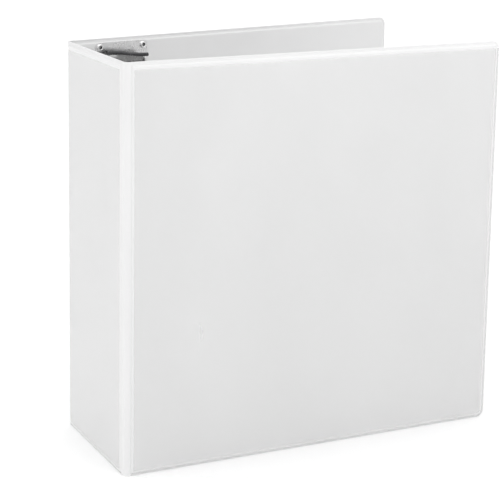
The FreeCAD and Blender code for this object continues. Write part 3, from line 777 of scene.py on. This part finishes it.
def wire_start(place):
    bm = bmesh.new()
    bmesh.ops.create_circle(bm, cap_ends=False, radius=WIRE_RADIUS, segments=WIRE_SIDES)
    bmesh.ops.translate(bm, verts=bm.verts, vec=place)
    return bm, bm.edges[:]


def straight(bm, loop, length):
    made = bmesh.ops.extrude_edge_only(bm, edges=loop)["geom"]
    bmesh.ops.translate(bm, verts=points_of(made), vec=(0, 0, length))
    return far_loop(made)


def bend(bm, loop, centre, degrees, steps):
    made = bmesh.ops.spin(
        bm, geom=loop, cent=centre, axis=(0, 1, 0), angle=math.radians(degrees), steps=steps,
        dvec=(0, 0, 0), use_merge=False, use_duplicate=False,
    )
    return far_loop(made["geom_last"])


def close_wire(bm, foot, tip):
    cap(bm, tip)
    bmesh.ops.edgeloop_fill(bm, edges=foot)


print("wire of", round(2 * WIRE_RADIUS / mm, 1), "mm")

# %% [markdown]
# The post and the curved half share one shape for all three rings. The bends of the curved half are a
# tight knee just above the housing, a wide belly that lets the sheets lie flat, and a broad shoulder.

# %% Three rings
KNEE_START = 7 * mm
KNEE_RADIUS = 8 * mm
BELLY_RADIUS = 30 * mm
BEND_TURN = 45

for end, place in rings.items():
    low, high = extent(end + "_straight_post", mechanism)
    reach = place.x - low.x
    shoulder = high.z - WIRE_RADIUS - reach
    bm, foot = wire_start((place.x, place.y, low.z))
    loop = straight(bm, foot, shoulder - low.z)
    loop = bend(bm, loop, (place.x - reach, place.y, shoulder), -90, 18)
    close_wire(bm, foot, loop)
    finish_metal(bm, end + "_straight_post", end + "_post_wire", ring_wire)

    low, high = extent(end + "_curved_half", mechanism)
    side, tip = low.x + WIRE_RADIUS, high.x
    shoulder = high.z - WIRE_RADIUS - (tip - side)
    rise = (KNEE_RADIUS + BELLY_RADIUS) * math.sin(math.radians(BEND_TURN))
    bm, foot = wire_start((-place.x, place.y, low.z))
    loop = straight(bm, foot, KNEE_START - low.z)
    loop = bend(bm, loop, (-place.x - KNEE_RADIUS, place.y, KNEE_START), -BEND_TURN, 9)
    loop = bend(bm, loop, (side + BELLY_RADIUS, place.y, KNEE_START + rise), BEND_TURN, 12)
    loop = straight(bm, loop, shoulder - KNEE_START - rise)
    loop = bend(bm, loop, (tip, place.y, shoulder), 90, 24)
    close_wire(bm, foot, loop)
    finish_metal(bm, end + "_curved_half", end + "_curved_wire", ring_wire)

# %% [markdown]
# ## Rivets
# Four rivets hold the housing to the cover. Each is turned: a head outside the cover, a shank, a
# spacer that keeps the housing from being crushed, and a domed cap on the housing. A profile is spun a
# full turn about the rivet's axis, and the two outer rims are then bevelled into domes.


# %% Turned parts
TURN_STEPS = 40
RIM_NEARNESS = 0.01 * mm


def turned(profile, closed=False):
    """Spin a profile of (radius, height) a full turn."""
    bm = bmesh.new()
    chain = [bm.verts.new((radius, 0, height)) for radius, height in profile]
    pairs = list(zip(chain, chain[1:])) + ([(chain[-1], chain[0])] if closed else [])
    line = [bm.edges.new(pair) for pair in pairs]
    bmesh.ops.spin(
        bm, geom=chain + line, cent=(0, 0, 0), axis=(0, 0, 1), angle=2 * math.pi, steps=TURN_STEPS,
        dvec=(0, 0, 0), use_merge=True, use_duplicate=False,
    )
    bmesh.ops.remove_doubles(bm, verts=bm.verts, dist=0.001 * mm)
    return bm


def round_rim(bm, radius, height, offset):
    """Bevel the one rim at this radius and height."""

    def on_rim(vertex):
        off_radius, off_height = abs(vertex.co.xy.length - radius), abs(vertex.co.z - height)
        return max(off_radius, off_height) < RIM_NEARNESS

    rim = [edge for edge in bm.edges if all(on_rim(vertex) for vertex in edge.verts)]
    bmesh.ops.bevel(bm, geom=rim, affect="EDGES", offset=offset, segments=5, profile=0.5, material=-1)


def set_out(bm, places):
    """Copy the one part in the mesh to every place but the first, and move the part itself there."""
    pattern = everything(bm)
    for place in places[1:]:
        made = bmesh.ops.duplicate(bm, geom=pattern)["geom"]
        bmesh.ops.translate(bm, verts=points_of(made), vec=place)
    bmesh.ops.translate(bm, verts=points_of(pattern), vec=places[0])


print("turned in", TURN_STEPS, "steps")

# %% Four rivets
SHANK = 2.0 * mm
SPACER = 3.0 * mm
SPACER_TOP = 8.1 * mm
CAP = 3.4 * mm
HEAD = 4.6 * mm
RIM = 0.9 * mm
CAP_ROUND = 0.8 * mm
HEAD_ROUND = 0.75 * mm
RIVETS = (-118 * mm, -62 * mm, 62 * mm, 118 * mm)

low, high = extent("mounting_rivets", mechanism)
rivet = turned(
    (
        (0, high.z), (CAP, high.z), (CAP, high.z - RIM), (SHANK, high.z - RIM), (SHANK, SPACER_TOP),
        (SPACER, SPACER_TOP), (SPACER, 0), (SHANK, 0), (SHANK, low.z + RIM), (HEAD, low.z + RIM),
        (HEAD, low.z), (0, low.z),
    )
)
round_rim(rivet, CAP, high.z, CAP_ROUND)
round_rim(rivet, HEAD, low.z, HEAD_ROUND)
set_out(rivet, [Vector((0, along, 0)) for along in RIVETS])
finish_metal(rivet, "mounting_rivets", "domed_rivets", plated_sheet, crease=50)

# %% [markdown]
# ## Eyelets
# The feet of the housing are held by hollow eyelets. An eyelet is a tube whose end is rolled outwards, so
# its rim is round on both edges and its hole is deep and dark. The bore takes the near-black material of
# the lever hems: partly a tube left dull inside, and partly painted shade that keeps the deep hole black.

# %% Four eyelets
BORE = 1.2 * mm
TUBE = 1.8 * mm
ROLL = 2.6 * mm
ROLL_ROUND = 0.62 * mm
PLATE = 1.0 * mm

low, high = extent("corner_eyelets", mechanism)
across, along = high.x - ROLL, high.y - ROLL
eyelet = turned(
    ((BORE, low.z), (BORE, high.z), (ROLL, high.z), (ROLL, PLATE), (TUBE, PLATE), (TUBE, low.z)),
    closed=True,
)
round_rim(eyelet, BORE, high.z, ROLL_ROUND)
round_rim(eyelet, ROLL, high.z, ROLL_ROUND)
# Painted shade: the bore's faces take the near-black material, so the deep hole reads black.
for face in eyelet.faces:
    if face.calc_center_median().xy.length < BORE + 0.05 * mm:
        face.material_index = 1
corners = [(side * across, end * along) for side in (-1, 1) for end in (-1, 1)]
set_out(eyelet, [Vector((x, y, 0)) for x, y in corners])
eyelets = finish_metal(eyelet, "corner_eyelets", "rolled_eyelets", plated_sheet, crease=50)
eyelets.data.materials.append(painted_shade_black)

# %% [markdown]
# ## Levers
# A lever is one strip of steel. Its near end is curled round the pivot pin, it runs on as a short
# plate, and its far end is rolled back on itself, so that the thumb meets a thick round hem. The
# strip's middle line is drawn first, by spinning a point about the pin and about the hem. The line is
# then pushed across the mechanism, which makes a sheet without thickness.


# %% The lever's strip
CURL_RADIUS = 2.15 * mm
CURL_TURN = 290
CURL_END = 91.7
ROOT_REACH, ROOT_ANGLE = 3.9 * mm, 35
HEM_REACH, HEM_ANGLE = 6.0 * mm, 37
HEM_RADIUS = 0.85 * mm
HEM_LIP = 0.4 * mm
PLATE_RISE = 40
THIRDS = (1 / 3, 2 / 3, 1)
COLUMNS = 48
lever_half = extent("top_lever", mechanism)[1].x


def polar(centre, reach, degrees):
    """A point in the plane across the pin, at a reach and an angle from the liner."""
    angle = math.radians(degrees)
    return centre + Vector((0, math.cos(angle), math.sin(angle))) * reach


def draw_on(bm, vertex, target):
    """Take the middle line on to a new point."""
    made = bmesh.ops.extrude_vert_indiv(bm, verts=[vertex])
    made["verts"][0].co = target
    return made["verts"][0]


def curl(bm, vertex, centre, degrees, steps):
    """Take the middle line round a centre."""
    made = bmesh.ops.spin(
        bm, geom=[vertex], cent=centre, axis=(1, 0, 0), angle=math.radians(degrees), steps=steps,
        dvec=(0, 0, 0), use_merge=False, use_duplicate=False,
    )
    return points_of(made["geom_last"])[0]


def lever_sheet(pivot):
    bm = bmesh.new()
    start = pivot - Vector((lever_half, 0, 0))
    hem = polar(start, HEM_REACH, HEM_ANGLE)
    hem_start = polar(hem, HEM_RADIUS, PLATE_RISE - 90)
    root = polar(start, ROOT_REACH, ROOT_ANGLE)
    vertex = bm.verts.new(polar(start, CURL_RADIUS, CURL_END + CURL_TURN))
    vertex = curl(bm, vertex, start, -CURL_TURN, 20)
    for share in THIRDS:
        vertex = draw_on(bm, vertex, polar(start, CURL_RADIUS, CURL_END).lerp(root, share))
    for share in THIRDS:
        vertex = draw_on(bm, vertex, root.lerp(hem_start, share))
    vertex = curl(bm, vertex, hem, 180, 10)
    draw_on(bm, vertex, vertex.co - (polar(start, 1, PLATE_RISE) - start) * HEM_LIP)
    bmesh.ops.spin(
        bm, geom=bm.verts[:] + bm.edges[:], cent=pivot, axis=(1, 0, 0), angle=0, steps=COLUMNS,
        dvec=(2 * lever_half / COLUMNS, 0, 0), use_merge=False, use_duplicate=False,
    )
    return bm


print("a strip", round(2 * lever_half / mm, 1), "mm wide in", COLUMNS, "columns")

# %% [markdown]
# The curl and the web beside it are narrower than the thumb plate, so their outer faces are deleted.
# The hem isn't straight: it waves from one corner to the other. The wave could be cut into a flat blank,
# but it is pressed here, so the points are moved: not at all at the curl, where the pin is straight, and
# the whole way at the hem. The hem is painted near black and the rest a darker grey, as painted shade for
# the shadow under the hem and the dim inside of the binder.

# %% Hub, wave and hem
HUB_HALF = 14.5 * mm
HEM_START = 4.9 * mm
WAVE = 2.3 * mm
WAVE_CLEAR = 0.5 * mm
WAVE_GROWTH = 2.2 * mm


def off_pin(place, pivot):
    return (place - pivot).yz.length


def trim_hub(bm, pivot):
    """Narrow the curl and the web to the width of the hub."""
    spare = []
    for face in bm.faces:
        centre = face.calc_center_median()
        if abs(centre.x) > HUB_HALF and off_pin(centre, pivot) < ROOT_REACH:
            spare.append(face)
    bmesh.ops.delete(bm, geom=spare, context="FACES")


def wave_sheet(bm, pivot):
    off_plate = polar(Vector(), 1, PLATE_RISE + 90)
    for vertex in bm.verts:
        share = (off_pin(vertex.co, pivot) - CURL_RADIUS - WAVE_CLEAR) / WAVE_GROWTH
        share = min(1.0, max(0.0, share))
        share = share * share * (3 - 2 * share)
        vertex.co += off_plate * WAVE * share * math.sin(math.pi / 2 * vertex.co.x / lever_half)


def paint_hem_shade(bm, pivot):
    """The hem takes the second material, near black, and the curl and the plate keep the first, a darker
    grey: both are painted shade.
    """
    for face in bm.faces:
        face.material_index = int(off_pin(face.calc_center_median(), pivot) > HEM_START)


print("the hem waves", round(2 * WAVE / mm, 1), "mm from corner to corner")

# %% [markdown]
# Both levers are the same strip. The bottom one is the top one mirrored along the mechanism. Solidify
# gives the sheet its thickness, half to each side of the middle line.

# %% Two levers
LEVER_SHEET = 1.1 * mm
LEVER_EDGE = 0.2 * mm

for end, side in (("top", 1), ("bottom", -1)):
    pivot = on_mechanism(joints[end + "_lever_turn"]["pos_m"])
    pivot.y = abs(pivot.y)
    bm = lever_sheet(pivot)
    trim_hub(bm, pivot)
    paint_hem_shade(bm, pivot)
    wave_sheet(bm, pivot)
    bmesh.ops.transform(bm, matrix=Matrix.Diagonal((1, side, 1, 1)), verts=bm.verts)
    # The plate's grey and the hem's near black are painted shade.
    piece = finish_metal(bm, end + "_lever", end + "_waved_lever", painted_shade_grey, crease=60)
    piece.data.materials.append(painted_shade_black)
    sheet = piece.modifiers.new("sheet", "SOLIDIFY")
    sheet.thickness = LEVER_SHEET
    sheet.offset = 0
    round_edges(piece, LEVER_EDGE, 3, 50)

# %% [markdown]
# ## Floor
# A pale floor stands in for a studio sweep that is lit from behind, so it glows a little, which keeps the
# foot of the binder light.

# %% Floor
floor_paint = finish("floor_paint", Roughness=0.9, Specular_IOR_Level=0.1, Emission_Strength=0.05)
shader_of(floor_paint).inputs["Emission Color"].default_value = (1, 1, 1, 1)
vary_colour(floor_paint, noise(floor_paint, 0.5), (0.93, 0.93, 0.93), (0.95, 0.95, 0.95))
bm = bmesh.new()
bmesh.ops.create_grid(bm, x_segments=1, y_segments=1, size=30)
floor_mesh = bpy.data.meshes.new("floor")
bm.to_mesh(floor_mesh)
bm.free()
floor = bpy.data.objects.new("floor", floor_mesh)
scene.collection.objects.link(floor)
floor_mesh.materials.append(floor_paint)
print("floor under", in_mm(cad_box[1] - cad_box[0]), "mm of binder")

# %% [markdown]
# ## Sizes
# The finished binder has to fill the same box as the measured one. The measured box is printed.

# %% Print the measured size
print("measured", in_mm(cad_box[0]), in_mm(cad_box[1]))
